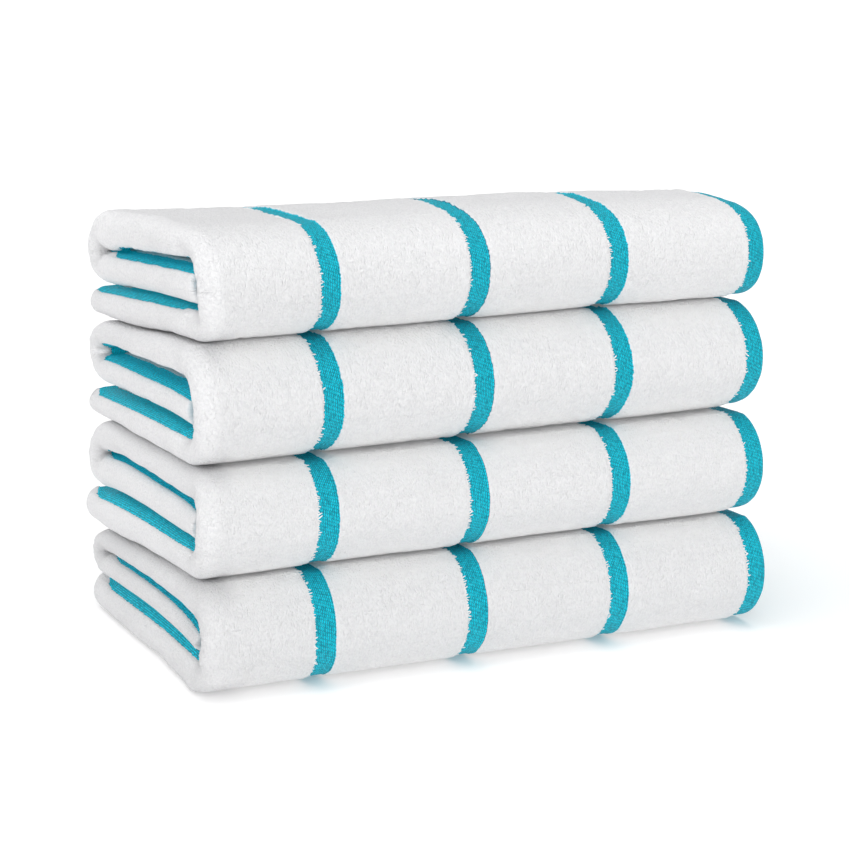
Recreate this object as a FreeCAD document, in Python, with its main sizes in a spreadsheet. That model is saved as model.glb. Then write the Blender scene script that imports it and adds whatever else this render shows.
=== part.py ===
"""Bath towel set: four identical terry bath towels, folded and stacked.

Frame: +Z up, +X along the long side of the folded towels, -Y towards the big rounded front folds,
origin at the middle of the base, on the surface the stack stands on. Millimetres.

Each towel is one cloth, 762 mm wide and 1372 mm long:
  1. it is folded in half, hem to hem, to 762 x 686 mm and two plies;
  2. it is folded across its width, with the fold at the left end (-X), to four plies. The outer half is the
     full folded length and the inner half stops just short of the right end;
  3. the four-ply strip is folded in thirds: the lower run goes forward, round the big front fold, back along
     the top, round the back fold, and forward again between the other two, where the hems end.
So a towel is a U-shaped section (X-Z) swept along a line of three runs and two folds (Y-Z).
Two hems, one on each half-length of cloth, each sewn with a line of thread that follows the U-shaped section.
"""

import FreeCAD, Part
import os
import Sketcher

V = FreeCAD.Vector

# name, folded length, offset of its left end, folded depth, folded height (all mm)
TOWELS = [
    ("bottom", 383.0, 0.0, 228.0, 68.0),
    ("second", 382.0, 1.0, 227.0, 69.6),
    ("third", 382.0, 0.5, 227.0, 71.2),
    ("top", 378.5, 4.5, 226.0, 67.6),
]

doc = FreeCAD.newDocument("bath_towel_set")

# ---------------------------------------------------------------- driving dimensions
sheet = doc.addObject("Spreadsheet::Sheet", "Sizes")
row = [0]


def cell(alias, value, note):
    row[0] += 1
    sheet.set("A%d" % row[0], note)
    sheet.set("B%d" % row[0], value)
    sheet.setAlias("B%d" % row[0], alias)


cell("cloth_width", "762", "width of one towel, flat")
cell("cloth_length", "1372", "length of one towel, flat, hem to hem")
cell("stack_length", "383", "longest folded towel")
cell("stack_depth", "228", "deepest folded towel")
cell("stack_gap", "0.4", "air between two stacked towels")
cell("run_gap", "0.8", "air between two runs of one towel")
cell("half_gap", "0.5", "air between the outer and the inner half")
cell("inner_short", "8", "how far the inner half stops short of the right end")
cell("edge_round", "3", "rounding of the side edges at the right end")
cell("nose_round", "4.5", "rounding of the lengthwise fold at the back")
cell("hem_round", "1.5", "rounding of the hemmed end")
cell("end_reach", "5", "how far the hemmed end reaches into the front fold")
cell("hem_width", "14", "from the hemmed end to the line of stitches")
cell("thread_radius", "0.4", "radius of the line of hem thread")
cell("thread_fit", "0.05", "room round the thread in the cloth")
cell("thread_inset", "4", "thread ends short of the side edge")
for i, (name, length, left, depth, height) in enumerate(TOWELS):
    cell("length_" + name, str(length), "folded length of the %s towel" % name)
    cell("left_" + name, str(left), "its left end, from the left end of the stack")
    cell("depth_" + name, str(depth), "its folded depth")
    cell("height_" + name, str(height), "its folded height")
    cell("run_" + name, "=(height_%s - 2 * run_gap) / 3" % name, "thickness of its four plies")
    if i == 0:
        cell("base_" + name, "0", "height of its underside")
    else:
        under = TOWELS[i - 1][0]
        cell("base_" + name, "=base_%s + height_%s + stack_gap" % (under, under), "height of its underside")
doc.recompute()


def size(alias):
    return float(sheet.get(alias))


def plane(body, role):
    return [f for f in body.Origin.OriginFeatures if f.Role == role][0]


# ---------------------------------------------------------------- sketch helpers
def bind(sketch, constraint, name, expression):
    """Add one dimension and drive it from the sheet."""
    index = sketch.addConstraint(constraint)
    sketch.renameConstraint(index, name)
    sketch.setExpression("Constraints." + name, expression)
    return index


def arc(sketch, centre, radius, start, end):
    """Arc, counter-clockwise from start to end, in degrees."""
    from math import radians

    circle = Part.Circle(V(centre[0], centre[1], 0), V(0, 0, 1), radius)
    return sketch.addGeometry(Part.ArcOfCircle(circle, radians(start), radians(end)), False)


def line(sketch, a, b):
    return sketch.addGeometry(Part.LineSegment(V(a[0], a[1], 0), V(b[0], b[1], 0)), False)


def tangent(sketch, first, first_end, second, second_end):
    sketch.addConstraint(Sketcher.Constraint("Tangent", first, first_end, second, second_end))


# ---------------------------------------------------------------- one towel's cloth
def fold_line(body, name, tag):
    """The line that the middle of the four plies follows, seen from the side (Y to the right, Z up)."""
    s = body.newObject("Sketcher::SketchObject", "FoldLine_" + tag)
    s.AttachmentSupport = [(plane(body, "YZ_Plane"), "")]
    s.MapMode = "FlatFace"
    D, F, g = size("depth_" + name), size("run_" + name), size("run_gap")
    front, back = F + g, (F + g) / 2
    yf, yk, yb = -D / 2 + front + F / 2, D / 2 - back - F / 2, D / 2
    ye = yf - size("end_reach")
    c0 = F / 2
    low = line(s, (yb, c0), (yf, c0))
    big = arc(s, (yf, c0 + front), front, 90, 270)
    top = line(s, (yf, c0 + 2 * front), (yk, c0 + 2 * front))
    small = arc(s, (yk, c0 + 1.5 * front), back, -90, 90)
    mid = line(s, (yk, c0 + front), (ye, c0 + front))
    for k in (low, top, mid):
        s.addConstraint(Sketcher.Constraint("Horizontal", k))
    tangent(s, low, 2, big, 2)
    tangent(s, big, 1, top, 1)
    tangent(s, top, 2, small, 2)
    tangent(s, small, 1, mid, 1)
    run, deep = "Sizes.run_" + name, "Sizes.depth_" + name
    bind(s, Sketcher.Constraint("Radius", big, front), "front_fold", run + " + Sizes.run_gap")
    bind(s, Sketcher.Constraint("Radius", small, back), "back_fold", "(%s + Sizes.run_gap) / 2" % run)
    bind(s, Sketcher.Constraint("DistanceY", -1, 1, low, 1, c0), "lower_run", run + " / 2")
    bind(s, Sketcher.Constraint("DistanceX", -1, 1, low, 1, yb), "lower_end", deep + " / 2")
    bind(s, Sketcher.Constraint("DistanceX", big, 3, -1, 1, -yf), "front_centre",
         "%s / 2 - %s * 1.5 - Sizes.run_gap" % (deep, run))
    bind(s, Sketcher.Constraint("DistanceX", -1, 1, small, 3, yk), "back_centre",
         "%s / 2 - %s - Sizes.run_gap / 2" % (deep, run))
    bind(s, Sketcher.Constraint("DistanceX", mid, 2, -1, 1, -ye), "hemmed_end",
         "%s / 2 - %s * 1.5 - Sizes.run_gap + Sizes.end_reach" % (deep, run))
    return s


def section(body, name, tag):
    """The U-shaped section at the back end of the lower run, seen from the front (X to the right, Z up)."""
    s = body.newObject("Sketcher::SketchObject", "Section_" + tag)
    s.AttachmentSupport = [(plane(body, "XZ_Plane"), "")]
    s.MapMode = "FlatFace"
    s.AttachmentOffset = FreeCAD.Placement(V(0, 0, -size("depth_" + name) / 2), FreeCAD.Rotation())
    s.setExpression("AttachmentOffset.Base.z", "-Sizes.depth_%s / 2" % name)
    F, e, gap = size("run_" + name), size("edge_round"), size("half_gap")
    x0 = size("left_" + name) - size("stack_length") / 2
    a = x0 + F / 2
    R = x0 + size("length_" + name)
    Q = R - size("inner_short")
    h = (F - gap) / 2
    under = line(s, (a, 0), (R - e, 0))
    c1 = arc(s, (R - e, e), e, 270, 360)
    side = line(s, (R, e), (R, h - e))
    c2 = arc(s, (R - e, h - e), e, 0, 90)
    slit_low = line(s, (R - e, h), (a, h))
    slit_end = arc(s, (a, F / 2), gap / 2, 90, 270)
    slit_top = line(s, (a, h + gap), (Q - e, h + gap))
    c3 = arc(s, (Q - e, h + gap + e), e, 270, 360)
    short = line(s, (Q, h + gap + e), (Q, F - e))
    c4 = arc(s, (Q - e, F - e), e, 0, 90)
    over = line(s, (Q - e, F), (a, F))
    fold = arc(s, (a, F / 2), F / 2, 90, 270)
    for k in (under, slit_low, slit_top, over):
        s.addConstraint(Sketcher.Constraint("Horizontal", k))
    for k in (side, short):
        s.addConstraint(Sketcher.Constraint("Vertical", k))
    tangent(s, under, 2, c1, 1)
    tangent(s, c1, 2, side, 1)
    tangent(s, side, 2, c2, 1)
    tangent(s, c2, 2, slit_low, 1)
    tangent(s, slit_low, 2, slit_end, 2)
    tangent(s, slit_end, 1, slit_top, 1)
    tangent(s, slit_top, 2, c3, 1)
    tangent(s, c3, 2, short, 1)
    tangent(s, short, 2, c4, 1)
    tangent(s, c4, 2, over, 1)
    tangent(s, over, 2, fold, 1)
    tangent(s, fold, 2, under, 1)
    for k in (c2, c3, c4):
        s.addConstraint(Sketcher.Constraint("Equal", c1, k))
    s.addConstraint(Sketcher.Constraint("Coincident", slit_end, 3, fold, 3))
    run, left = "Sizes.run_" + name, "Sizes.left_" + name
    bind(s, Sketcher.Constraint("Radius", c1, e), "edge", "Sizes.edge_round")
    bind(s, Sketcher.Constraint("Radius", slit_end, gap / 2), "slit", "Sizes.half_gap / 2")
    bind(s, Sketcher.Constraint("Radius", fold, F / 2), "left_fold", run + " / 2")
    bind(s, Sketcher.Constraint("DistanceY", -1, 1, fold, 3, F / 2), "fold_height", run + " / 2")
    bind(s, Sketcher.Constraint("DistanceX", fold, 3, -1, 1, -a), "fold_left",
         "Sizes.stack_length / 2 - %s - %s / 2" % (left, run))
    bind(s, Sketcher.Constraint("DistanceX", -1, 1, side, 1, R), "right_end",
         "%s + Sizes.length_%s - Sizes.stack_length / 2" % (left, name))
    bind(s, Sketcher.Constraint("DistanceX", -1, 1, short, 1, Q), "inner_end",
         "%s + Sizes.length_%s - Sizes.stack_length / 2 - Sizes.inner_short" % (left, name))
    return s


def end_edges(shape, y, z_low, z_high):
    """Names of the straight and round edges of the end face that stands at y between two heights."""
    found = []
    for i, edge in enumerate(shape.Edges):
        box = edge.BoundBox
        if abs(box.YMin - y) < 1e-4 and abs(box.YMax - y) < 1e-4 and box.ZMin > z_low - 1e-3 and box.ZMax < z_high + 1e-3:
            found.append("Edge%d" % (i + 1))
    return found


def cloth(name, tag):
    body = doc.addObject("PartDesign::Body", "ClothBody_" + tag)
    path = fold_line(body, name, tag)
    profile = section(body, name, tag)
    doc.recompute()
    pipe = body.newObject("PartDesign::AdditivePipe", "FoldedCloth_" + tag)
    pipe.Profile = profile
    pipe.Spine = path
    pipe.Mode = "Standard"
    pipe.Transition = "Transformed"
    doc.recompute()
    F, D, g = size("run_" + name), size("depth_" + name), size("run_gap")
    # the lengthwise fold closes the plies at the back end of the lower run
    nose = body.newObject("PartDesign::Fillet", "LengthwiseFold_" + tag)
    nose.Base = (pipe, end_edges(pipe.Shape, D / 2, 0, F))
    nose.Radius = size("nose_round")
    nose.setExpression("Radius", "Sizes.nose_round")
    body.Tip = nose
    doc.recompute()
    # the hemmed end of the middle run
    ye = -D / 2 + 1.5 * F + g - size("end_reach")
    hem = body.newObject("PartDesign::Fillet", "HemmedEnd_" + tag)
    hem.Base = (nose, end_edges(nose.Shape, ye, F + g, 2 * F + g))
    hem.Radius = size("hem_round")
    hem.setExpression("Radius", "Sizes.hem_round")
    body.Tip = hem
    doc.recompute()
    return body


# ---------------------------------------------------------------- hem threads
def thread_line(name, tag, which, radius_expression, radius):
    """One line of thread: a tube that follows the U-shaped section, in the plane of the stitches.
    The outer hem's line lies in the outer faces, the inner hem's line in the faces of the slit."""
    body = doc.addObject("PartDesign::Body", "Thread_%s_%s" % (which, tag))
    F, g, D = size("run_" + name), size("run_gap"), size("depth_" + name)
    y = -D / 2 + 1.5 * F + g - size("end_reach") + size("hem_width")
    zc = 1.5 * F + g
    x0 = size("left_" + name) - size("stack_length") / 2
    a = x0 + F / 2
    R = x0 + size("length_" + name) - size("thread_inset")
    Q = R - size("inner_short")
    outer = which.startswith("Outer")
    rr = F / 2 - size("thread_radius") if outer else size("half_gap") / 2 + size("thread_radius")
    run, left = "Sizes.run_" + name, "Sizes.left_" + name
    rr_expr = run + " / 2 - Sizes.thread_radius" if outer else "Sizes.half_gap / 2 + Sizes.thread_radius"
    y_expr = "-Sizes.depth_%s / 2 + 1.5 * %s + Sizes.run_gap - Sizes.end_reach + Sizes.hem_width" % (name, run)
    s = body.newObject("Sketcher::SketchObject", "Line_%s_%s" % (which, tag))
    s.AttachmentSupport = [(plane(body, "XZ_Plane"), "")]
    s.MapMode = "FlatFace"
    s.AttachmentOffset = FreeCAD.Placement(V(0, 0, -y), FreeCAD.Rotation())
    s.setExpression("AttachmentOffset.Base.z", "-(%s)" % y_expr)
    low = line(s, (R, zc - rr), (a, zc - rr))
    turn = arc(s, (a, zc), rr, 90, 270)
    high = line(s, (a, zc + rr), (Q, zc + rr))
    for k in (low, high):
        s.addConstraint(Sketcher.Constraint("Horizontal", k))
    tangent(s, low, 2, turn, 2)
    tangent(s, turn, 1, high, 1)
    bind(s, Sketcher.Constraint("Radius", turn, rr), "turn", rr_expr)
    bind(s, Sketcher.Constraint("DistanceY", -1, 1, turn, 3, zc), "height", run + " * 1.5 + Sizes.run_gap")
    bind(s, Sketcher.Constraint("DistanceX", turn, 3, -1, 1, -a), "left_turn",
         "Sizes.stack_length / 2 - %s - %s / 2" % (left, run))
    bind(s, Sketcher.Constraint("DistanceX", -1, 1, low, 1, R), "long_end",
         "%s + Sizes.length_%s - Sizes.stack_length / 2 - Sizes.thread_inset" % (left, name))
    bind(s, Sketcher.Constraint("DistanceX", -1, 1, high, 2, Q), "short_end",
         "%s + Sizes.length_%s - Sizes.stack_length / 2 - Sizes.thread_inset - Sizes.inner_short" % (left, name))
    c = body.newObject("Sketcher::SketchObject", "Round_%s_%s" % (which, tag))
    c.AttachmentSupport = [(plane(body, "YZ_Plane"), "")]
    c.MapMode = "FlatFace"
    c.AttachmentOffset = FreeCAD.Placement(V(0, 0, R), FreeCAD.Rotation())
    c.setExpression("AttachmentOffset.Base.z",
                    "%s + Sizes.length_%s - Sizes.stack_length / 2 - Sizes.thread_inset" % (left, name))
    ring = c.addGeometry(Part.Circle(V(y, zc - rr, 0), V(0, 0, 1), radius), False)
    bind(c, Sketcher.Constraint("Radius", ring, radius), "thread", radius_expression)
    bind(c, Sketcher.Constraint("DistanceX", ring, 3, -1, 1, -y), "stitch_line", "-(%s)" % y_expr)
    bind(c, Sketcher.Constraint("DistanceY", -1, 1, ring, 3, zc - rr), "face",
         "%s * 1.5 + Sizes.run_gap - (%s)" % (run, rr_expr))
    doc.recompute()
    pipe = body.newObject("PartDesign::AdditivePipe", "Tube_%s_%s" % (which, tag))
    pipe.Profile = c
    pipe.Spine = s
    pipe.Mode = "Standard"
    pipe.Transition = "Transformed"
    body.Tip = pipe
    doc.recompute()
    return body


# ---------------------------------------------------------------- the four towels
nodes = []
for name, length, left, depth, height in TOWELS:
    tag = name
    body = cloth(name, tag)
    r, fit = size("thread_radius"), size("thread_fit")
    threads = [thread_line(name, tag, w, "Sizes.thread_radius", r) for w in ("OuterHem", "InnerHem")]
    channels = [thread_line(name, tag, w, "Sizes.thread_radius + Sizes.thread_fit", r + fit)
                for w in ("OuterHemChannel", "InnerHemChannel")]
    room = doc.addObject("Part::Compound", "ThreadRoom_" + tag)
    room.Links = channels
    cut = doc.addObject("Part::Cut", "Towel_" + tag)
    cut.Base = body
    cut.Tool = room
    cut.Label = name + "_towel"
    cut.Placement = FreeCAD.Placement(V(0, 0, size("base_" + name)), FreeCAD.Rotation())
    cut.setExpression("Placement.Base.z", "Sizes.base_" + name)
    sewn = doc.addObject("Part::Compound", "HemThread_" + tag)
    sewn.Links = threads
    sewn.Label = name + "_towel_hem_threads"
    sewn.Placement = FreeCAD.Placement(V(0, 0, size("base_" + name)), FreeCAD.Rotation())
    sewn.setExpression("Placement.Base.z", "Sizes.base_" + name)
    nodes += [cut, sewn]
doc.recompute()

# ---------------------------------------------------------------- checks and files
bad = [o.Label for o in doc.Objects if "Invalid" in o.State or "Error" in o.State]
if bad:
    raise SystemExit("failed objects: %s" % bad)
for node in nodes:
    if node.Shape.isNull() or not node.Shape.isValid() or not node.Shape.Solids:
        raise SystemExit("bad shape: " + node.Label)

os.makedirs("parts", exist_ok=True)
for node in nodes:
    box = node.Shape.BoundBox
    print("%-28s solids %d volume %10.1f mm3  x %.2f..%.2f  y %.2f..%.2f  z %.2f..%.2f" % (
        node.Label, len(node.Shape.Solids), node.Shape.Volume,
        box.XMin, box.XMax, box.YMin, box.YMax, box.ZMin, box.ZMax))
    node.Shape.exportStep("parts/%s.step" % node.Label)
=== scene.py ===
import math

import bpy
import numpy as np
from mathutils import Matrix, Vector


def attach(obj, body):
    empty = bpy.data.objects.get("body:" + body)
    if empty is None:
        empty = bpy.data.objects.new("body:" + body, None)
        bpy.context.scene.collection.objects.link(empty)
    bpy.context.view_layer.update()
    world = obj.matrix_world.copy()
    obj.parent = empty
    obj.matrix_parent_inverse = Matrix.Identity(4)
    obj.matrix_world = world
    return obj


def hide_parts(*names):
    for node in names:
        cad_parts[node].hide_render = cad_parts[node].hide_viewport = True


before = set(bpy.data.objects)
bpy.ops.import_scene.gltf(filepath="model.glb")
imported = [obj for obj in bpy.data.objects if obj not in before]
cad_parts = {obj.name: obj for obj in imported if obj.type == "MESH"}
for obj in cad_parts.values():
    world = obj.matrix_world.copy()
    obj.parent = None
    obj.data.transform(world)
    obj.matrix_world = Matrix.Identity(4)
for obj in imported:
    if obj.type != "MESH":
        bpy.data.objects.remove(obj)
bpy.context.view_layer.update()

# ------------------------------------------------------------------ sizes (mm unless said)
MM = 0.001
CLOTH_W, CLOTH_L = 762.0, 1372.0
RUN = 22.8                     # one run of four plies, before the levels stretch it
HALF = RUN / 2
LEFT, RIGHT = -190.0, 190.4    # ends of the folded cloth
INNER_SHORT = 8.0
Y_TIP, Y_FRONT = -114.0, -65.8 # tip and centre of the front fold
Y_BACK_C, Y_TAIL = 82.0, 108.4 # centre of the back fold, straight end of the lowest run
Y_END = -88.2                  # free hemmed end, tucked behind the front fold
BAND_W0, BAND_PITCH = 7.4, 97.2
BAND_HALF = 6.65
PLY = HALF / 2                 # one ply with its pile
FLAT_SHARE = 0.42              # flat-woven band, as a share of the pile's thickness

# height of the surface between towels: front at the left, middle and right end, drop to the back
SURF = [None, (67.6, 70.3, 72.7, -8.8), (134.0, 136.9, 139.9, -1.8), (206.8, 211.2, 214.1, -7.6)]
# top of the stack, which is crowned near its front: heights on a grid of (x, y)
TOP_X = (-190, -110, -20, 60, 110, 190)
TOP_Y = (-66, -45, -25, 0, 25, 50, 82, 110)
TOP_Z = ((274.6, 274.7, 274.6, 274.2, 273.5, 272.6, 271.0, 268.0),
         (276.0, 276.9, 277.3, 277.0, 275.4, 272.9, 269.6, 266.4),
         (278.4, 280.6, 280.8, 278.6, 275.7, 272.8, 269.0, 266.0),
         (279.6, 281.8, 282.1, 279.7, 276.7, 273.7, 269.7, 266.4),
         (279.2, 281.1, 281.3, 278.9, 275.9, 272.9, 269.0, 265.6),
         (277.4, 279.0, 279.1, 276.8, 273.9, 271.0, 267.2, 264.0))

# shade: painted shade, a factor on each towel's white, darkest on the bottom towel (0.94) for the dimmer light low on
# the stack near the floor
TOWELS = [
    dict(
        name="bottom", tip=-121.5, low=46.0, up=36.0, left=(-189.4, -193.6),
        bands=(183.2, 82.0, -16.6, -116.2),
        # depth knots, then C top, B underside, B top, A underside (heights at the left end)
        knots=(-100, -84, -60, -30, 2, 40, 67, 90, 110),
        c_top=(25.0, 25.8, 26.9, 28.0, 28.0, 27.6, 26.8, 25.6, 24.4),
        b_bot=(27.4, 28.0, 28.7, 29.4, 29.8, 28.6, 27.4, 26.4, 25.6),
        b_top=(40.4, 43.2, 45.5, 46.7, 47.2, 46.8, 45.2, 43.2, 42.0),
        a_bot=(42.8, 45.4, 47.0, 47.5, 47.9, 47.4, 45.7, 43.5, 42.2),
        turn_c=(33, 36), turn_b=(44, 53), turn_a=(46, 60), close=(84, 66, 62), point=0.25, left_c=2.4, left_a=-1.0, shade=0.94, right=1.0, seed=3,
    ),
    dict(
        name="second", tip=-118.0, low=43.0, up=36.0, left=(-187.8, -193.0),
        bands=(183.2, 84.2, -14.0, -112.1),
        knots=(-100, -84, -60, -30, 2, 40, 67, 90, 110),
        c_top=(91.0, 91.1, 90.9, 90.7, 90.4, 89.6, 88.2, 86.0, 84.0),
        b_bot=(92.9, 92.7, 92.4, 92.2, 92.1, 91.4, 90.0, 87.2, 85.0),
        b_top=(112.2, 113.3, 114.2, 113.6, 114.0, 114.4, 112.8, 110.2, 108.4),
        a_bot=(115.0, 114.7, 115.3, 114.7, 115.3, 115.9, 113.8, 110.6, 108.8),
        turn_c=(38, 38), turn_b=(57, 63), turn_a=(50, 50), close=(95, 78, 78), point=0.1, left_c=-2.2, left_a=-1.6, shade=0.98, right=0.0, seed=8,
    ),
    dict(
        name="third", tip=-114.5, low=51.0, up=48.0, left=(-188.4, -192.0),
        bands=(183.0, 87.2, -9.2, -107.9),
        knots=(-100, -84, -60, -30, 2, 40, 67, 90, 110),
        c_top=(155.3, 155.6, 156.2, 156.6, 156.0, 154.6, 153.1, 152.0, 151.4),
        b_bot=(156.9, 158.2, 159.5, 159.9, 159.2, 158.0, 157.2, 156.0, 154.6),
        b_top=(179.5, 180.3, 180.5, 180.3, 180.0, 179.5, 178.6, 177.0, 175.8),
        a_bot=(183.2, 185.6, 185.8, 185.1, 184.8, 184.6, 183.2, 179.4, 176.6),
        turn_c=(36, 36), turn_b=(38, 43), turn_a=(36, 38), close=(100, 82, 82), point=0.1, left_c=0.0, left_a=-1.4, shade=0.99, right=0.5, seed=5,
    ),
    dict(
        name="top", tip=-112.0, low=47.0, up=54.0, left=(-184.2, -190.8),
        bands=(184.8, 84.2, -11.1, -110.2),
        knots=(-100, -84, -60, -30, 2, 40, 67, 90, 110),
        c_top=(226.0, 226.5, 226.7, 226.6, 225.8, 223.9, 222.0, 220.4, 219.2),
        b_bot=(228.2, 228.5, 228.2, 227.8, 226.8, 225.0, 223.2, 221.6, 220.2),
        b_top=(251.9, 252.7, 251.6, 250.3, 249.0, 247.6, 245.7, 243.8, 242.6),
        a_bot=(254.4, 255.0, 253.6, 251.8, 250.2, 248.4, 246.0, 244.1, 242.8),
        turn_c=(38, 40), turn_b=(44, 46), turn_a=(46, 54), close=(106, 57, 50), point=1.0, left_c=1.6, left_a=-1.8, shade=1.0, right=1.6, seed=11,
    ),
]
GAP = 0.12          # towel to the surface it shares
GAM = 0.014         # run to run, in runs


def sstep(t):
    t = np.clip(t, 0, 1)
    return t * t * (3 - 2 * t)


def smooth_noise(x, y, seed, wave, octaves=2):
    """Sum of turned sine waves: an even, wandering value of about -1 to 1, the same every run."""
    r = np.random.default_rng(seed)
    out = np.zeros(np.broadcast(x, y).shape)
    total = 0.0
    for o in range(octaves):
        w = wave / (2.0 ** o)
        for _ in range(7):
            a, ph = r.uniform(0, 2 * np.pi, 2)
            k = 2 * np.pi / (w * r.uniform(0.7, 1.4))
            out = out + np.sin(k * (x * np.cos(a) + y * np.sin(a)) + ph) * 0.6 ** o
            total += 0.6 ** (2 * o) * 0.5
    return out / math.sqrt(total) * 0.6


def spline_basis(q, knots):
    """Natural cubic spline through the knots, as one weight per knot for each value of q."""
    k = np.asarray(knots, float)
    n, h = len(k), np.diff(k)
    A, R = np.eye(n), np.zeros((n, n))
    for i in range(1, n - 1):
        A[i, i - 1:i + 2] = h[i - 1], 2 * (h[i - 1] + h[i]), h[i]
        R[i, i - 1:i + 2] = 6 / h[i - 1], -6 / h[i - 1] - 6 / h[i], 6 / h[i]
    M = np.linalg.solve(A, R)
    q = np.clip(np.ravel(q), k[0] - 25, k[-1] + 25)
    i = np.clip(np.searchsorted(k, q) - 1, 0, n - 2)
    a, b, g = (k[i + 1] - q) / h[i], (q - k[i]) / h[i], h[i] ** 2 / 6
    out = M[i] * ((np.where(b > 1, a, a ** 3) - a) * g)[:, None] + M[i + 1] * ((np.where(a > 1, b, b ** 3) - b) * g)[:, None]
    rows = np.arange(len(q))
    out[rows, i] += a
    out[rows, i + 1] += b
    return out


def surface(j, x, y):
    """Height of the surface under towel j, over the stack's plan."""
    x, y = np.broadcast_arrays(np.asarray(x, float), np.asarray(y, float))
    if j == 0:
        return np.zeros(x.shape)
    u = np.clip((x + 190) / 380, -0.05, 1.05)
    v = np.clip((y + 100) / 200, -0.1, 1.1)
    if j == 4:
        z = np.einsum("ij,jk,ik->i", spline_basis(x, TOP_X), np.array(TOP_Z), spline_basis(np.maximum(y, -78), TOP_Y))
        return z.reshape(x.shape) + 0.4 * smooth_noise(x, y, 44, 210, 2) + 0.35 * smooth_noise(x, y, 91, 95, 2)
    a, b, c, drop = SURF[j]
    z = a * (1 - u) * (1 - 2 * u) + b * 4 * u * (1 - u) + c * u * (2 * u - 1)
    return z + drop * sstep(v) + 0.45 * smooth_noise(x, y, 40 + j, 210, 2)


# ------------------------------------------------------------------ folded path
# p runs along the folded length in pieces of one unit: 0 lowest run, 1 front fold, 2 top run, 3 back fold, 4 middle run
def path(p, n):
    """(y, run height) of the folded section at station p and side n, from -1 to 1, before the levels."""
    p, n = np.broadcast_arrays(np.asarray(p, float), np.asarray(n, float))
    m = n * (1 - 2 * GAM)
    y, h = np.zeros(p.shape), np.zeros(p.shape)
    k = p < 1
    y[k] = Y_TAIL + (Y_FRONT - Y_TAIL) * p[k]
    h[k] = 0.5 - 0.5 * m[k]
    k = (p >= 1) & (p < 2)
    a = (p[k] - 1) * np.pi - np.pi / 2
    y[k] = Y_FRONT - (36.6 + 11.6 * m[k]) * np.maximum(np.cos(a), 0) ** (0.56 + 0.44 * m[k])
    h[k] = 1.5 + (1 + 0.5 * m[k]) * np.clip(1.035 * np.sin(a), -1, 1)
    k = (p >= 2) & (p < 3)
    y[k] = Y_FRONT + (Y_BACK_C - Y_FRONT) * (p[k] - 2)
    h[k] = 2.5 + 0.5 * m[k]
    k = (p >= 3) & (p < 4)
    a = np.pi / 2 - (p[k] - 3) * np.pi
    y[k] = Y_BACK_C + (16.8 + 15.2 * m[k]) * np.cos(a)
    h[k] = 2.0 + (0.5 + 0.5 * m[k]) * np.sin(a)
    k = p >= 4
    y[k] = Y_BACK_C + (Y_END - Y_BACK_C) * (p[k] - 4)
    h[k] = 1.5 - 0.5 * m[k]
    return y, h


def path_length(p, n=0.5):
    """Length along the cloth from the lengthwise fold to station p."""
    q = np.linspace(0, 5, 2001)
    y, h = path(q, n)
    s = np.concatenate([[0], np.cumsum(np.hypot(np.diff(y), np.diff(h) * RUN))])
    return np.interp(p, q, s)


def place(t, x, y, h):
    """Moves points from the plain folded section to where they are in the stack."""
    i = TOWELS.index(t)
    up = sstep(h / 3 * 1.7 - 0.35)
    depth = t["low"] + (t["up"] - t["low"]) * up
    u = (y - Y_TIP) / (Y_FRONT - Y_TIP)
    inside = t["tip"] + u * depth
    shift = (t["tip"] + depth - Y_FRONT) * (1 - sstep((y - Y_FRONT) / 95.0))
    y2 = np.where(u < 1, inside, y + shift)
    # ends: the left end leans a little, and its folds are not quite in line
    wl = 1 - sstep((x - LEFT) / 150.0)
    v = np.clip((y2 + 100) / 200, -0.15, 1.15)
    lean = t["left"][0] + (t["left"][1] - t["left"][0]) * v - LEFT
    lean = lean + 0.7 * np.sin(h * 2.3 + t["seed"]) + 0.5 * np.sin(y2 / 31.0 + t["seed"])
    lean = lean + t["left_c"] + (t["left_a"] - t["left_c"]) * sstep((h - 0.7) / 0.7)
    x2 = x + lean * wl + t["right"] * sstep((x - 90) / 95.0)
    if i == 3:
        q, ur = np.clip(u, 0, 1), sstep((x - 50) / 120.0)
        y2 = y2 - (8.0 + 9.0 * ur) * q * (1 - q) + 2.4 * ur * (1 - q)
    # levels
    z0 = surface(i, x2, y2) + GAP * (i > 0)
    z3 = surface(i + 1, x2, y2) - GAP * (i < 3)
    e0 = surface(i, np.full(x.shape, -185.0), y2)
    e3 = surface(i + 1, np.full(x.shape, -185.0), y2)
    relax = sstep((y2 + 112) / 14.0)
    om = np.exp(-(np.maximum(x - LEFT - 9, 0) / 34.0) ** 2) * relax
    base = (1 / 3, 1 / 3, 2 / 3, 2 / 3)
    f = []
    for b, key in zip(base, ("c_top", "b_bot", "b_top", "a_bot")):
        lv = np.interp(y2, t["knots"], t[key])
        f.append(b + om * ((lv - e0) / (e3 - e0) - b))
    ks = [np.zeros(x.shape), *f, np.ones(x.shape)]
    hs = [0, 1 - GAM, 1 + GAM, 2 - GAM, 2 + GAM, 3]
    g = np.zeros(x.shape)
    for a in range(5):
        r = np.clip((h - hs[a]) / (hs[a + 1] - hs[a]), 0, 1)
        g = g + (ks[a + 1] - ks[a]) * r
    z = z0 + g * (z3 - z0)
    if i == 0:
        # the towel that carries the others is pressed flatter onto the floor along its front
        z = z - 1.3 * (z / 10.0) * np.exp(1 - z / 10.0) * (1 - sstep((y2 + 100) / 34.0))
        fr = sstep((-10 - y2) / 70.0)
        x2 = x2 - (5.5 + 3.5 * fr) * np.exp(-z / (4.0 + 3.0 * fr)) * (1 - sstep((x + 184) / 16.0))
    return np.stack([x2, y2, z], -1)


# ------------------------------------------------------------------ columns: across the cloth
def band_edges():
    out = []
    for k in range(9):
        c = BAND_W0 + k * BAND_PITCH
        if c < CLOTH_W + 10:
            out.append((c - BAND_HALF if k else -1.0, c + BAND_HALF))
    return out


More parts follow.
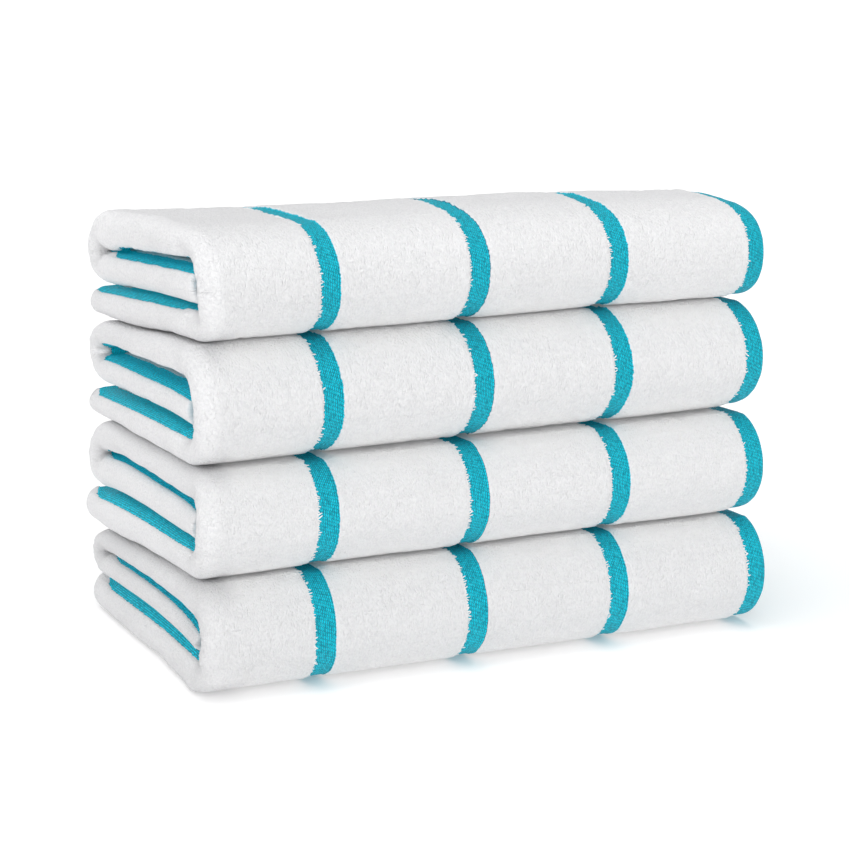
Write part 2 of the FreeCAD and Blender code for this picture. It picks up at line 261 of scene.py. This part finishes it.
def columns(fine):
    """Stations across the cloth: kind (0 outer half, 1 turn, 2 inner half), x or angle."""
    a = LEFT + HALF
    xs = set()
    edges = []
    for k in range(4):
        c = RIGHT - (BAND_W0 + k * BAND_PITCH)
        edges += [c - BAND_HALF, c + BAND_HALF] if k else [c - BAND_HALF]
    marks = sorted([a] + edges + [RIGHT - 1.6], reverse=True)
    grid = []
    for e in edges:
        grid += [e + d for d in (-1.9, -1.1, -0.55, -0.15, 0.25, 0.7, 1.3, 2.1)]
    grid += [RIGHT, RIGHT - 0.35, RIGHT - 0.9, RIGHT - 1.8]
    x = RIGHT - 1.8
    while x > a + 0.8:
        x -= fine
        if min(abs(x - g) for g in grid) > 0.75 * fine * 0.6:
            grid.append(x)
    grid = sorted([g for g in grid if a + 0.8 < g <= RIGHT], reverse=True)
    cols = [(0, g) for g in grid] + [(1, q) for q in np.linspace(0, np.pi, 30)]
    inner = list(a + np.array([1.2, 2.6, 4.2, 6, 8, 10.5, 14, 18, 24]))
    inner += list(np.arange(a + 33, RIGHT - INNER_SHORT - 16, 10.0))
    for k in range(5, 9):
        c = a + (BAND_PITCH * k + BAND_W0) - (RIGHT - a) - math.pi * PLY
        for d in (-BAND_HALF - 1.2, -BAND_HALF + 0.6, BAND_HALF - 0.6, BAND_HALF + 1.2):
            if a + 30 < c + d < RIGHT - INNER_SHORT - 2.5:
                inner.append(c + d)
    end = RIGHT - INNER_SHORT
    inner += [end - 1.8, end - 0.9, end - 0.35, end]
    inner = np.array(sorted(set(np.round(inner, 3))))
    keep = [inner[0]]
    for v in inner[1:]:
        if v - keep[-1] > 0.3:
            keep.append(v)
    cols += [(2, v) for v in keep]
    return np.array(cols)


def cloth_w(t, cols, p):
    """Width coordinate on the cloth of each column, at station p of the folded path (both arrays, columns first)."""
    a = LEFT + HALF
    kind, v = cols[:, 0][:, None], cols[:, 1][:, None]
    # outer half: from x to w through the towel's own band places
    xs = np.array(list(t["bands"]))
    ws = BAND_W0 + BAND_PITCH * np.arange(4)
    x0 = np.concatenate([[RIGHT], xs, [a - 60]])
    w0 = np.concatenate([[0], ws, [ws[-1] + (xs[-1] - a + 60)]])
    order = np.argsort(x0)
    wout = np.interp(np.where(kind == 0, v, a), x0[order], w0[order])
    wa = np.interp(a, x0[order], w0[order])
    y, h = path(p, 0.6)
    y = y[None, :] + 0 * v
    # where the fifth band starts on the turn, in degrees past its tip
    lo = np.where(p < 1.5, t["turn_c"][0], np.where(p < 3.2, t["turn_a"][0], t["turn_b"][0]))[None, :]
    hi = np.where(p < 1.5, t["turn_c"][1], np.where(p < 3.2, t["turn_a"][1], t["turn_b"][1]))[None, :]
    start = 90 + lo + (hi - lo) * sstep((y + 95) / 60.0)
    # towards the back the folds close over the band
    shut = np.where(p < 1.5, t["close"][0], np.where(p < 3.2, t["close"][2], t["close"][1]))[None, :]
    taper = np.where(p < 1.5, 16 * np.clip((p - 0.72) / 0.28, 0, 1) ** 2 + 60 * np.clip((p - 0.98) / 0.13, 0, 1), 0.0)[None, :] * t["point"]
    start = np.radians(np.minimum(start + 3.2 * np.maximum(y - shut, 0) + taper, 172))
    wb = BAND_W0 + 4 * BAND_PITCH - BAND_HALF
    q = np.where(kind == 1, v, 0.0)
    first = wa + (wb - wa) * q / start
    rest = wb + (q - start) * PLY * 1.5
    wturn = np.where(q < start, first, rest)
    wend = wb + (np.pi - start) * PLY * 1.5
    win = wend + (np.where(kind == 2, v, a) - a)
    # the last side edge is the cloth's own edge
    span = (RIGHT - INNER_SHORT) - a
    win = wend + (CLOTH_W - wend) * (np.where(kind == 2, v, a) - a) / span
    w = np.where(kind == 0, wout, np.where(kind == 1, wturn, win))
    return w


def band_mask(w, s, side):
    """0 in pile, 1 in flat-woven band, with a slightly wandering edge."""
    wob = 0.35 * np.sin(s * 1.9 + side) + 0.25 * np.sin(s * 0.83 + 2.1 + side)
    m = np.zeros(w.shape)
    for lo, hi in band_edges():
        m = np.maximum(m, sstep((w - (lo + wob * 0.5) + 0.55) / 1.1) * sstep(((hi + wob) - w + 0.55) / 1.1))
    # the eighth repeat falls on the far side edge
    return m


# ------------------------------------------------------------------ rows: round one ply folded in two
def stations(counts):
    out = []
    for k, n in enumerate(counts):
        out += list(k + np.linspace(0, 1, n, endpoint=False))
    return np.array(out + [5.0])


def sheet_mesh(t):
    top = t["name"] == "top"
    cols = columns(2.7 if top else 2.6)
    outer = stations((17, 62, 60 if top else 17, 30, 14))
    coarse = stations((9, 18, 9, 9, 9))
    rows = []     # (p, r, part)
    for p in outer[::-1]:
        rows.append((p, 1.0, 0))
    for q in np.linspace(0, np.pi, 12)[1:-1]:
        rows.append((-0.48 * HALF * math.sin(q) * 1.0, 0.52 + 0.48 * math.cos(q), 1))
    for p in coarse:
        rows.append((p, 0.04, 2))
    rows.append((5.0, 0.14, 3)); rows.append((5.0, 0.26, 4)); rows.append((5.0, 0.38, 5))
    for p in coarse[::-1]:
        rows.append((p, 0.47, 6))
    rows.append((-0.4, 0.485, 7)); rows.append((-0.4, 0.515, 7))
    for p in coarse:
        rows.append((p, 0.53, 8))
    rows.append((5.0, 0.62, 9)); rows.append((5.0, 0.76, 10)); rows.append((5.0, 0.90, 11))
    rows = np.array(rows)
    nc, nr = len(cols), len(rows)
    p = rows[:, 0].copy()
    part = rows[:, 2]
    tail = (part == 1) | (part == 7)
    pc = np.where(tail, 0.0, p)
    s = path_length(pc) + 0.0
    s = np.where((part >= 2) & (part <= 6), -s, s)
    s = np.where(tail & (part == 1), (rows[:, 1] - 0.52) * 14, s)
    w = cloth_w(t, cols, pc)
    S = s[None, :] + 0 * w
    mask = band_mask(w, S, (part[None, :] >= 6) * 1.7)
    # thickness of the ply at each point
    edge = np.minimum(w, CLOTH_W - w)
    thick = 1 - (1 - FLAT_SHARE) * mask
    thick = thick * (0.35 + 0.65 * np.sqrt(np.clip(edge / 1.6, 0, 1)))
    r = rows[:, 1][None, :] + 0 * w
    mid = np.where(r > 0.5, 0.765, 0.255)
    rr = mid + (r - mid) * thick
    nose = (part == 1)[None, :] & (w > -1)
    mid1 = 0.52
    # round the fold of the two plies: outer face moves with the ply
    rr = np.where(nose, mid1 + (r - mid1) * (1 - 0.17 * mask), rr)
    # pile is never quite even
    outer_face = (part == 0)[None, :] & (w > -1)
    lump = smooth_noise(w, S, t["seed"] + 200, 11.0, 3) * 0.035 + smooth_noise(w, S, t["seed"] + 300, 46.0, 2) * 0.035
    rr = np.where(outer_face, rr + lump * (1 - 0.75 * mask), rr)
    # where the cloth is pressed against a neighbour its face stays level
    free = sstep((p - 1.1) / 0.12) * (1 - sstep((p - (3.0 if top else 1.78)) / 0.12)) + sstep((p - 3.08) / 0.12) * (1 - sstep((p - 3.8) / 0.12))
    turn = np.where(cols[:, 0] == 1, np.sin(np.where(cols[:, 0] == 1, cols[:, 1], 0)), 0)[:, None]
    rr = np.clip(rr, 0.02, 1.0 + 0.035 * np.maximum(free[None, :], turn ** 2 * (p < 3)[None, :]))
    kind, v = cols[:, 0][:, None], cols[:, 1][:, None]
    a = LEFT + HALF
    th = np.where(kind == 1, v, np.where(kind == 0, 0.0, np.pi))
    x = np.where(kind == 1, a - HALF * rr * np.sin(th), v)
    n = rr * np.cos(th)
    P = p[None, :] + 0 * w
    y, h = path(np.where(tail[None, :] & (w > -1), 0.0, np.maximum(P, 0)), n)
    # the two-ply fold at the tail of the lowest run
    ext = np.where(part == 1, -rows[:, 0], np.where(part == 7, 0.4, 0.0))
    y = y + ext[None, :] * (1 - 0.12 * mask)
    # hems at the free end: rounded, the inner ply's end a little longer
    hem = {3: 0.5, 4: 0.8, 5: 0.5, 9: 0.5, 10: 0.8, 11: 0.5}
    bulge = np.array([hem.get(int(q), 0.0) for q in part])
    inner_ply = np.array([1.0 if 2 <= q <= 6 else 0.0 for q in part])
    last = sstep((P - 4.0) / 1.0)
    y = y - bulge[None, :] - 0.9 * inner_ply[None, :] * last * (np.maximum(P - 4.6, 0) / 0.4)
    co = place(t, x, y, h)
    faces = []
    for i in range(nc - 1):
        for j in range(nr):
            k = (j + 1) % nr
            faces.append((i * nr + j, i * nr + k, (i + 1) * nr + k, (i + 1) * nr + j))
    faces = np.array(faces)

    # side edges: close the ply between its faces
    def zipper(a_idx, b_idx, pa, pb, flip):
        tris, i, j = [], 0, 0
        while i < len(a_idx) - 1 or j < len(b_idx) - 1:
            step_a = j >= len(b_idx) - 1 or (i < len(a_idx) - 1 and pa[i + 1] <= pb[j + 1])
            if step_a:
                tri = (a_idx[i], a_idx[i + 1], b_idx[j]); i += 1
            else:
                tri = (a_idx[i], b_idx[j + 1], b_idx[j]); j += 1
            tris.append(tri[::-1] if flip else tri)
        return tris

    sel = lambda q: np.nonzero(part == q)[0]
    o_out, o_in, i_out, i_in = sel(0)[::-1], sel(8), sel(6)[::-1], sel(2)
    caps = []
    for col, flip in ((0, False), (nc - 1, True)):
        b = col * nr
        m1, m7 = list(sel(1)), list(sel(7))
        # O ply: outer face against its other face
        caps += zipper(list(b + o_out), list(b + o_in), rows[o_out, 0], rows[o_in, 0], flip)
        caps += zipper(list(b + i_out), list(b + i_in), rows[i_out, 0], rows[i_in, 0], flip)
        # tail: outer fold against the small one inside
        ring_o = [b + o_out[0]] + [b + q for q in m1] + [b + i_in[0]]
        ring_i = [b + o_in[0]] + [b + q for q in m7[::-1]] + [b + i_out[0]]
        caps += zipper(ring_o, ring_i, np.linspace(0, 1, len(ring_o)), np.linspace(0, 1, len(ring_i)), not flip)
        e9 = [b + q for q in np.concatenate([sel(9), sel(10), sel(11)])]
        poly = [b + o_in[-1], *e9, b + o_out[-1]]
        caps.append(tuple(poly if flip else poly[::-1]))
        e3 = [b + q for q in np.concatenate([sel(3), sel(4), sel(5)])]
        poly = [b + i_in[-1], *e3, b + i_out[-1]]
        caps.append(tuple(poly if flip else poly[::-1]))
    side = np.where((part == 0) | (part == 1) | (part == 2) | (part == 9) | (part == 10) | (part == 11), 1.0, -1.0)
    attr = np.stack([w, S, np.broadcast_to(side[None, :], w.shape) * 40.0], -1)
    # mask on the outer face, rising from 4 to 24 mm behind each front tip and away from the left end (on the top towel
    # only below 262 mm), meant for the creases between towels; it carries painted light that lifts the shade there
    deep = sstep((co[..., 1] - t["tip"] - 4) / 20.0) * (part == 0)[None, :] * (kind == 0) * sstep((v - a - 4) / 14.0)
    if top:
        deep = deep * sstep((262 - co[..., 2]) / 20.0)
    return co.reshape(-1, 3), faces, caps, attr.reshape(-1, 3), deep.reshape(-1)


def new_mesh(name, co, faces, caps=(), attr=None, deep=None):
    me = bpy.data.meshes.new(name)
    everything = [tuple(int(v) for v in f) for f in faces] + [tuple(int(v) for v in f) for f in caps]
    me.from_pydata([tuple(c) for c in np.asarray(co) * MM], [], everything)
    me.validate()
    me.polygons.foreach_set("use_smooth", np.ones(len(me.polygons), bool))
    if attr is not None:
        at = me.attributes.new("cloth", "FLOAT_VECTOR", "POINT")
        at.data.foreach_set("vector", np.asarray(attr, np.float32).ravel())
        at = me.attributes.new("crease_fill_light", "FLOAT", "POINT")
        at.data.foreach_set("value", np.asarray(deep, np.float32).ravel())
    ob = bpy.data.objects.new(name, me)
    bpy.context.scene.collection.objects.link(ob)
    return ob


# ------------------------------------------------------------------ materials
class Nodes:
    def __init__(self, name):
        self.mat = bpy.data.materials.new(name)
        self.mat.use_nodes = True
        self.t = self.mat.node_tree
        self.t.nodes.clear()
        self.out = self.t.nodes.new("ShaderNodeOutputMaterial")
        self.bsdf = self.t.nodes.new("ShaderNodeBsdfPrincipled")
        self.link(self.bsdf.outputs[0], self.out.inputs["Surface"])

    def new(self, kind, **kw):
        n = self.t.nodes.new(kind)
        for k, v in kw.items():
            setattr(n, k, v)
        return n

    def link(self, a, b):
        self.t.links.new(a, b)

    def math(self, op, a, b=None, c=None, clamp=False):
        n = self.new("ShaderNodeMath", operation=op, use_clamp=clamp)
        for i, v in enumerate((a, b, c)):
            if v is None:
                continue
            if hasattr(v, "is_output"):
                self.link(v, n.inputs[i])
            else:
                n.inputs[i].default_value = v
        return n.outputs[0]

    def combine(self, x, y, z):
        n = self.new("ShaderNodeCombineXYZ")
        for i, v in enumerate((x, y, z)):
            if hasattr(v, "is_output"):
                self.link(v, n.inputs[i])
            else:
                n.inputs[i].default_value = v
        return n.outputs[0]

    def noise(self, vec, scale, detail=2.0, rough=0.5, dim="3D"):
        n = self.new("ShaderNodeTexNoise", noise_dimensions=dim)
        self.link(vec, n.inputs["Vector"])
        n.inputs["Scale"].default_value = scale
        n.inputs["Detail"].default_value = detail
        n.inputs["Roughness"].default_value = rough
        return n.outputs["Fac"]

    def ramp(self, v, a, b, lo=0.0, hi=1.0, smooth=True):
        n = self.new("ShaderNodeMapRange", clamp=True)
        if smooth:
            n.interpolation_type = "SMOOTHSTEP"
        self.link(v, n.inputs["Value"])
        for i, q in zip(("From Min", "From Max", "To Min", "To Max"), (a, b, lo, hi)):
            n.inputs[i].default_value = q
        return n.outputs["Result"]

    def mix(self, fac, a, b, kind="RGBA"):
        n = self.new("ShaderNodeMix", data_type=kind)
        ins = [s for s in n.inputs if s.type == kind or (kind == "FLOAT" and s.type == "VALUE")]
        if hasattr(fac, "is_output"):
            self.link(fac, n.inputs[0])
        else:
            n.inputs[0].default_value = fac
        A, B = ([s for s in n.inputs if s.name == q and s.type == kind] for q in ("A", "B"))
        for s, v in ((A[0], a), (B[0], b)):
            if hasattr(v, "is_output"):
                self.link(v, s)
            else:
                s.default_value = v
        return [s for s in n.outputs if s.type == kind][0]


def terry_material(name, painted_dimming, seed):
    m = Nodes(name)
    at = m.new("ShaderNodeAttribute", attribute_name="cloth")
    sep = m.new("ShaderNodeSeparateXYZ")
    m.link(at.outputs["Vector"], sep.inputs[0])
    w, s, side = sep.outputs
    off = m.math("ADD", side, seed * 7.3)
    # distance to the nearest band's middle, with a ragged edge where pile loops lean over it
    ph = m.math("ADD", m.math("SUBTRACT", w, BAND_W0), 200 * BAND_PITCH + BAND_PITCH / 2)
    d = m.math("SUBTRACT", m.math("MODULO", ph, BAND_PITCH), BAND_PITCH / 2)
    rag = m.noise(m.combine(m.math("MULTIPLY", w, 0.25), s, off), 0.62, 3.0, 0.62)
    rag2 = m.noise(m.combine(m.math("MULTIPLY", w, 0.5), s, off), 2.1, 1.0, 0.5)
    hang = m.math("ADD", m.math("MULTIPLY", m.math("SUBTRACT", rag, 0.5), 2.0), m.math("MULTIPLY", m.math("SUBTRACT", rag2, 0.5), 1.1))
    fold = m.math("COMPARE", w, BAND_W0 + 4 * BAND_PITCH, 9.0)      # the band inside the folded left end
    left = m.math("SUBTRACT", BAND_HALF - 0.1, m.math("ADD", d, hang))
    right = m.math("ADD", m.math("ADD", d, BAND_HALF), m.math("MULTIPLY", hang, m.math("ADD", m.math("MULTIPLY", fold, 0.7), 0.35)))
    inside = m.math("MINIMUM", left, right)
    first = m.math("LESS_THAN", w, BAND_W0)            # the side edge itself has no pile outside it
    last = m.math("GREATER_THAN", w, CLOTH_W - 15.0)
    inside = m.math("MAXIMUM", inside, m.math("SUBTRACT", m.math("MULTIPLY", first, 9.0), 0.2))
    inside = m.math("MAXIMUM", inside, m.math("SUBTRACT", m.math("MULTIPLY", last, 9.0), 0.2))
    band = m.ramp(inside, -0.12, 0.16)
    # pile: loops crowded into small curls, drawn a little into rows along the cloth
    pv = m.combine(w, m.math("MULTIPLY", s, 0.55), off)
    loop = m.new("ShaderNodeTexVoronoi", feature="SMOOTH_F1")
    m.link(m.combine(m.math("ADD", w, m.math("MULTIPLY", m.noise(pv, 0.5, 1.0, 0.5), 1.6)), m.math("MULTIPLY", s, 0.72), off), loop.inputs["Vector"])
    loop.inputs["Scale"].default_value = 0.85
    loop.inputs["Smoothness"].default_value = 0.35
    curl = m.math("SUBTRACT", 1.0, loop.outputs["Distance"])
    fine = m.noise(pv, 1.3, 2.0, 0.65)
    broad = m.noise(m.combine(w, m.math("MULTIPLY", s, 0.8), off), 0.17, 3.0, 0.55)
    pile_h = m.math("ADD", m.math("MULTIPLY", curl, 0.6), m.math("ADD", m.math("MULTIPLY", fine, 1.1), m.math("MULTIPLY", broad, 0.12)))
    # band: short floats in staggered diagonal rows
    br = m.new("ShaderNodeTexBrick", offset=0.5, offset_frequency=2, squash=1.0, squash_frequency=1)
    jig = m.math("MULTIPLY", m.noise(m.combine(w, s, off), 0.5, 1.0, 0.5), 0.35)
    m.link(m.combine(m.math("ADD", m.math("ADD", s, m.math("MULTIPLY", w, 0.45)), jig), m.math("ADD", w, jig), 0.0), br.inputs["Vector"])
    br.inputs["Scale"].default_value = 1.0
    br.inputs["Color1"].default_value = (1, 1, 1, 1)
    br.inputs["Color2"].default_value = (0.78, 0.78, 0.78, 1)
    br.inputs["Mortar"].default_value = (0.0, 0.0, 0.0, 1)
    br.inputs["Mortar Size"].default_value = 0.23
    br.inputs["Mortar Smooth"].default_value = 1.0
    br.inputs["Bias"].default_value = 0.0
    br.inputs["Brick Width"].default_value = 1.9
    br.inputs["Row Height"].default_value = 1.15
    rib = br.outputs["Color"]
    speck = m.noise(m.combine(w, m.math("MULTIPLY", s, 0.6), off), 0.8, 2.0, 0.6)
    rib_v = m.math("MULTIPLY", rib, m.ramp(speck, 0.32, 0.66, 0.5, 1.0))
    # colours
    crease_fill_light = m.new("ShaderNodeAttribute", attribute_name="crease_fill_light").outputs["Fac"]
    # painted shade: the white is darker where the pile height is low, in the gaps between curls
    deep = m.ramp(m.math("ADD", m.math("MULTIPLY", fine, 0.75), m.math("MULTIPLY", curl, 0.4)), 0.36, 0.70)
    # painted shade: the towel's factor (its shade value) dims its whole white, most on the bottom towel
    white = m.mix(deep, (0.825 * painted_dimming[0], 0.825 * painted_dimming[1], 0.84 * painted_dimming[2], 1), (0.90 * painted_dimming[0], 0.90 * painted_dimming[1], 0.91 * painted_dimming[2], 1))
    # painted light: where the crease mask is set, the white is lifted towards a brighter white, filling the shade in
    # the creases
    white = m.mix(crease_fill_light, white, (0.97, 0.97, 0.972, 1))
    teal = m.mix(m.ramp(rib_v, 0.05, 0.85), (0.0, 0.130, 0.200, 1), (0.004, 0.600, 0.755, 1))
    glint = m.ramp(m.noise(m.combine(m.math("MULTIPLY", w, 1.2), m.math("MULTIPLY", s, 0.8), off), 0.85, 1.0, 0.5), 0.60, 0.76, 0.0, 0.6)
    teal = m.mix(glint, teal, (0.05, 0.66, 0.78, 1))
    col = m.mix(band, white, teal)
    m.link(col, m.bsdf.inputs["Base Color"])
    # painted light: the bands glow faintly in their own colour, the strips of band inside the folded left end
    # more, and the creases glow a little, lifting the shade in those recesses
    m.link(col, m.bsdf.inputs["Emission Color"])
    own = m.math("MULTIPLY", band, m.math("ADD", m.math("MULTIPLY", fold, 0.15), 0.07))
    m.link(m.math("MAXIMUM", own, m.math("MULTIPLY", crease_fill_light, 0.042)), m.bsdf.inputs["Emission Strength"])
    m.link(m.ramp(band, 0, 1, 0.95, 0.64, False), m.bsdf.inputs["Roughness"])
    m.bsdf.inputs["Sheen Weight"].default_value = 0.03
    m.bsdf.inputs["Sheen Roughness"].default_value = 0.45
    m.bsdf.inputs["Specular IOR Level"].default_value = 0.22
    height = m.mix(band, m.combine(pile_h, pile_h, pile_h), m.combine(rib_v, rib_v, rib_v), "VECTOR")
    hs = m.new("ShaderNodeSeparateXYZ")
    m.link(height, hs.inputs[0])
    hv = m.math("MULTIPLY", hs.outputs[0], m.ramp(band, 0, 1, 1.0, 0.42, False))
    hv = m.math("ADD", hv, m.ramp(band, 0, 1, 0.0, 0.75, False))
    bump = m.new("ShaderNodeBump")
    bump.inputs["Strength"].default_value = 0.9
    bump.inputs["Distance"].default_value = 0.0014
    m.link(hv, bump.inputs["Height"])
    m.link(bump.outputs[0], m.bsdf.inputs["Normal"])
    m.mat.cycles.emission_sampling = "NONE"
    return m.mat


def thread_material():
    m = Nodes("hem_thread_cotton")
    co = m.new("ShaderNodeTexCoord")
    n = m.noise(co.outputs["Object"], 900.0, 2.0, 0.5)
    ply = m.new("ShaderNodeTexWave", wave_type="BANDS", bands_direction="DIAGONAL")
    m.link(co.outputs["Object"], ply.inputs["Vector"])
    ply.inputs["Scale"].default_value = 900.0
    m.link(m.mix(n, (0.66, 0.66, 0.65, 1), (0.84, 0.84, 0.83, 1)), m.bsdf.inputs["Base Color"])
    m.link(m.ramp(n, 0.3, 0.7, 0.55, 0.75), m.bsdf.inputs["Roughness"])
    bump = m.new("ShaderNodeBump")
    bump.inputs["Strength"].default_value = 0.4
    bump.inputs["Distance"].default_value = 0.0002
    m.link(ply.outputs["Fac"], bump.inputs["Height"])
    m.link(bump.outputs[0], m.bsdf.inputs["Normal"])
    return m.mat


# ------------------------------------------------------------------ pieces
THREAD = thread_material()


def point_on(t, w, p, r, cols_w=None):
    """Points on the outer half of the cloth at width w and station p, r from 0 to 1 (1 is the outer face)."""
    xs = np.array(list(t["bands"]))
    ws = BAND_W0 + BAND_PITCH * np.arange(4)
    x = np.interp(w, np.concatenate([[0], ws, [ws[-1] + 60]]), np.concatenate([[RIGHT], xs, [xs[-1] - 60]]))
    y, h = path(p, r)
    return place(t, x, y, h)


def tuft_material(name, seed):
    m = Nodes(name)
    co = m.new("ShaderNodeTexCoord").outputs["Object"]
    n = m.noise(co, 420.0 + seed, 2.0, 0.6)
    m.link(m.mix(m.ramp(n, 0.3, 0.7), (0.82, 0.82, 0.828, 1), (0.93, 0.93, 0.935, 1)), m.bsdf.inputs["Base Color"])
    m.link(m.ramp(n, 0.3, 0.7, 0.85, 0.96), m.bsdf.inputs["Roughness"])
    bump = m.new("ShaderNodeBump")
    bump.inputs["Strength"].default_value = 0.5
    bump.inputs["Distance"].default_value = 0.0004
    m.link(m.noise(co, 1500.0, 1.0, 0.5), bump.inputs["Height"])
    m.link(bump.outputs[0], m.bsdf.inputs["Normal"])
    return m.mat


def tufts(t):
    """Loops of pile that lean over the left edge of each flat band, all along the outer face."""
    r = np.random.default_rng(t["seed"] + 500)
    q = np.linspace(0, 5, 4001)
    length = path_length(q)
    centres, sizes = [], []
    for k in range(4):
        s = 3.0
        while s < length[-1] - 3:
            s += r.uniform(0.85, 1.7)
            big = r.random() < 0.4
            half = r.uniform(1.3, 2.1) if big else r.uniform(0.7, 1.15)
            reach = r.uniform(1.0, 2.6) if big else r.uniform(0.3, 1.0)
            w = BAND_W0 + k * BAND_PITCH + BAND_HALF - 0.15 - reach + half
            centres.append((w, s, r.uniform(0.90, 0.945), r.uniform(-0.55, 0.55)))
            sizes.append((half, r.uniform(0.32, 0.48) if big else r.uniform(0.45, 0.75), r.uniform(0.035, 0.05)))
    c, z = np.array(centres), np.array(sizes)
    local, faces = [(1.0, 0, 0)], []
    for lat in (0.62, 0.0, -0.62):
        for a in np.linspace(0, 2 * np.pi, 6, endpoint=False):
            local.append((lat, math.sqrt(1 - lat * lat) * math.cos(a), math.sqrt(1 - lat * lat) * math.sin(a)))
    local.append((-1.0, 0, 0))
    for a in range(6):
        b = (a + 1) % 6
        faces += [(0, 1 + b, 1 + a), (1 + a, 1 + b, 7 + b, 7 + a), (7 + a, 7 + b, 13 + b, 13 + a), (13 + a, 13 + b, 19)]
    local = np.array(local)
    n, v = len(c), len(local)
    dw = local[None, :, 0] * z[:, 0:1]
    ds = local[None, :, 1] * z[:, 1:2] + c[:, 3:4] * dw
    w = c[:, 0:1] + dw
    p = np.interp(c[:, 1:2] + ds, length, q)
    rr = c[:, 2:3] + local[None, :, 2] * z[:, 2:3]
    co = point_on(t, w, p, rr).reshape(-1, 3)
    every = [tuple(int(i * v + f) for f in face) for i in range(n) for face in faces]
    return co, every


for t in TOWELS:
    name = t["name"]
    co, faces, caps, attr, deep = sheet_mesh(t)
    ob = new_mesh(name + "_towel_cloth", co, faces, caps, attr, deep)
    ob.data.materials.append(terry_material(name + "_terry", (t["shade"],) * 3, t["seed"]))
    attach(ob, name)
    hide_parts(name + "_towel")
    t["object"] = ob

    # hem: two rows of lockstitches along the free end, one on each outer face of the middle run
    verts, quads = [], []
    count = 236
    for row, side in ((0, 1.0), (1, -1.0)):
        w = np.linspace(6, 372, count // 2)
        hem_p = 4 + (1 - 14.0 / (Y_BACK_C - Y_END))
        for wi in w:
            base = len(verts)
            xs = np.array([-1.25, -0.6, 0.6, 1.25])
            ring = np.linspace(0, 2 * np.pi, 6, endpoint=False)
            for q, rad in zip(xs, (0.10, 0.26, 0.26, 0.10)):
                cpt = point_on(t, np.array([wi + q]), np.array([hem_p]), np.array([0.985 * side]))[0]
                for a in ring:
                    verts.append(cpt + np.array([0, rad * math.cos(a), rad * math.sin(a)]))
            for k in range(3):
                for j in range(6):
                    quads.append((base + k * 6 + j, base + k * 6 + (j + 1) % 6, base + (k + 1) * 6 + (j + 1) % 6, base + (k + 1) * 6 + j))
            quads.append(tuple(base + j for j in range(6))[::-1])
            quads.append(tuple(base + 18 + j for j in range(6)))
    st = new_mesh(name + "_towel_hem_stitches", np.array(verts), quads)
    st.data.materials.append(THREAD)
    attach(st, name)
    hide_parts(name + "_towel_hem_threads")
    tc, tf = tufts(t)
    tu = new_mesh(name + "_towel_pile_tufts", tc, tf)
    tu.data.materials.append(tuft_material(name + "_tuft_cotton", t["seed"]))
    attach(tu, name)


# ------------------------------------------------------------------ floor, light, camera
def sweep():
    """White paper: a floor disc that turns up into a low wall all the way round, far from the stack."""
    ring = 96
    prof = [(0.35, 0.0), (1.2, 0.0), (4.0, 0.0), (8.0, 0.0)]
    prof += [(8.0 + 1.5 * math.sin(q), 1.5 - 1.5 * math.cos(q)) for q in np.linspace(0, math.pi / 2, 10)[1:]]
    prof.append((9.5, 2.2))
    verts, quads = [(0, 0, -0.0006)], []
    for rad, z in prof:
        for k in range(ring):
            a = 2 * math.pi * k / ring
            verts.append((rad * math.cos(a), rad * math.sin(a), z - 0.0006))
    for k in range(ring):
        quads.append((0, 1 + k, 1 + (k + 1) % ring))
    for i in range(len(prof) - 1):
        for k in range(ring):
            a, b = 1 + i * ring + k, 1 + i * ring + (k + 1) % ring
            quads.append((a, a + ring, b + ring, b))
    me = bpy.data.meshes.new("floor")
    me.from_pydata(verts, [], quads)
    me.polygons.foreach_set("use_smooth", np.ones(len(me.polygons), bool))
    ob = bpy.data.objects.new("floor", me)
    bpy.context.scene.collection.objects.link(ob)
    m = Nodes("floor_paper")
    m.bsdf.inputs["Base Color"].default_value = (0.873, 0.87, 0.87, 1)
    m.bsdf.inputs["Roughness"].default_value = 0.95
    m.bsdf.inputs["Specular IOR Level"].default_value = 0.05
    m.bsdf.inputs["Emission Color"].default_value = (1, 1, 1, 1)
    m.bsdf.inputs["Emission Strength"].default_value = 0.22
    me.materials.append(m.mat)


sweep()

world = bpy.data.worlds.new("studio")
bpy.context.scene.world = world
world.use_nodes = True
world.node_tree.nodes["Background"].inputs["Color"].default_value = (1, 1, 1, 1)
world.node_tree.nodes["Background"].inputs["Strength"].default_value = 0.26

# three broad banks: overhead, front and left side (direction the light travels, strength, spread in degrees)
for name, way, power, spread in (("overhead_bank", (0.05, 0.10, -1.0), 1.58, 60), ("front_bank", (0.37, 0.80, -0.47), 1.09, 42), ("side_bank", (0.89, 0.157, -0.42), 0.58, 60)):
    d = bpy.data.lights.new(name, "SUN")
    d.energy = power
    d.angle = math.radians(spread)
    bank = bpy.data.objects.new(name, d)
    bpy.context.scene.collection.objects.link(bank)
    bank.location = tuple(-2.4 * q for q in way)
    bank.rotation_euler = Vector(way).to_track_quat("-Z", "Y").to_euler()

cam = bpy.data.cameras.new("camera")
cam.sensor_width = 36.0
cam.lens = 2042.0 * 36.0 / 850.0
cam.shift_y = -0.10
cam.clip_start, cam.clip_end = 0.05, 200
camera = bpy.data.objects.new("camera", cam)
camera.location = (-0.548, -1.196, 0.393)
camera.rotation_euler = (math.radians(90 - 8.95), 0, math.radians(-24.75))
bpy.context.scene.collection.objects.link(camera)
bpy.context.scene.camera = camera
bpy.context.scene.view_settings.view_transform = "Standard"
bpy.context.scene.view_settings.look = "None"
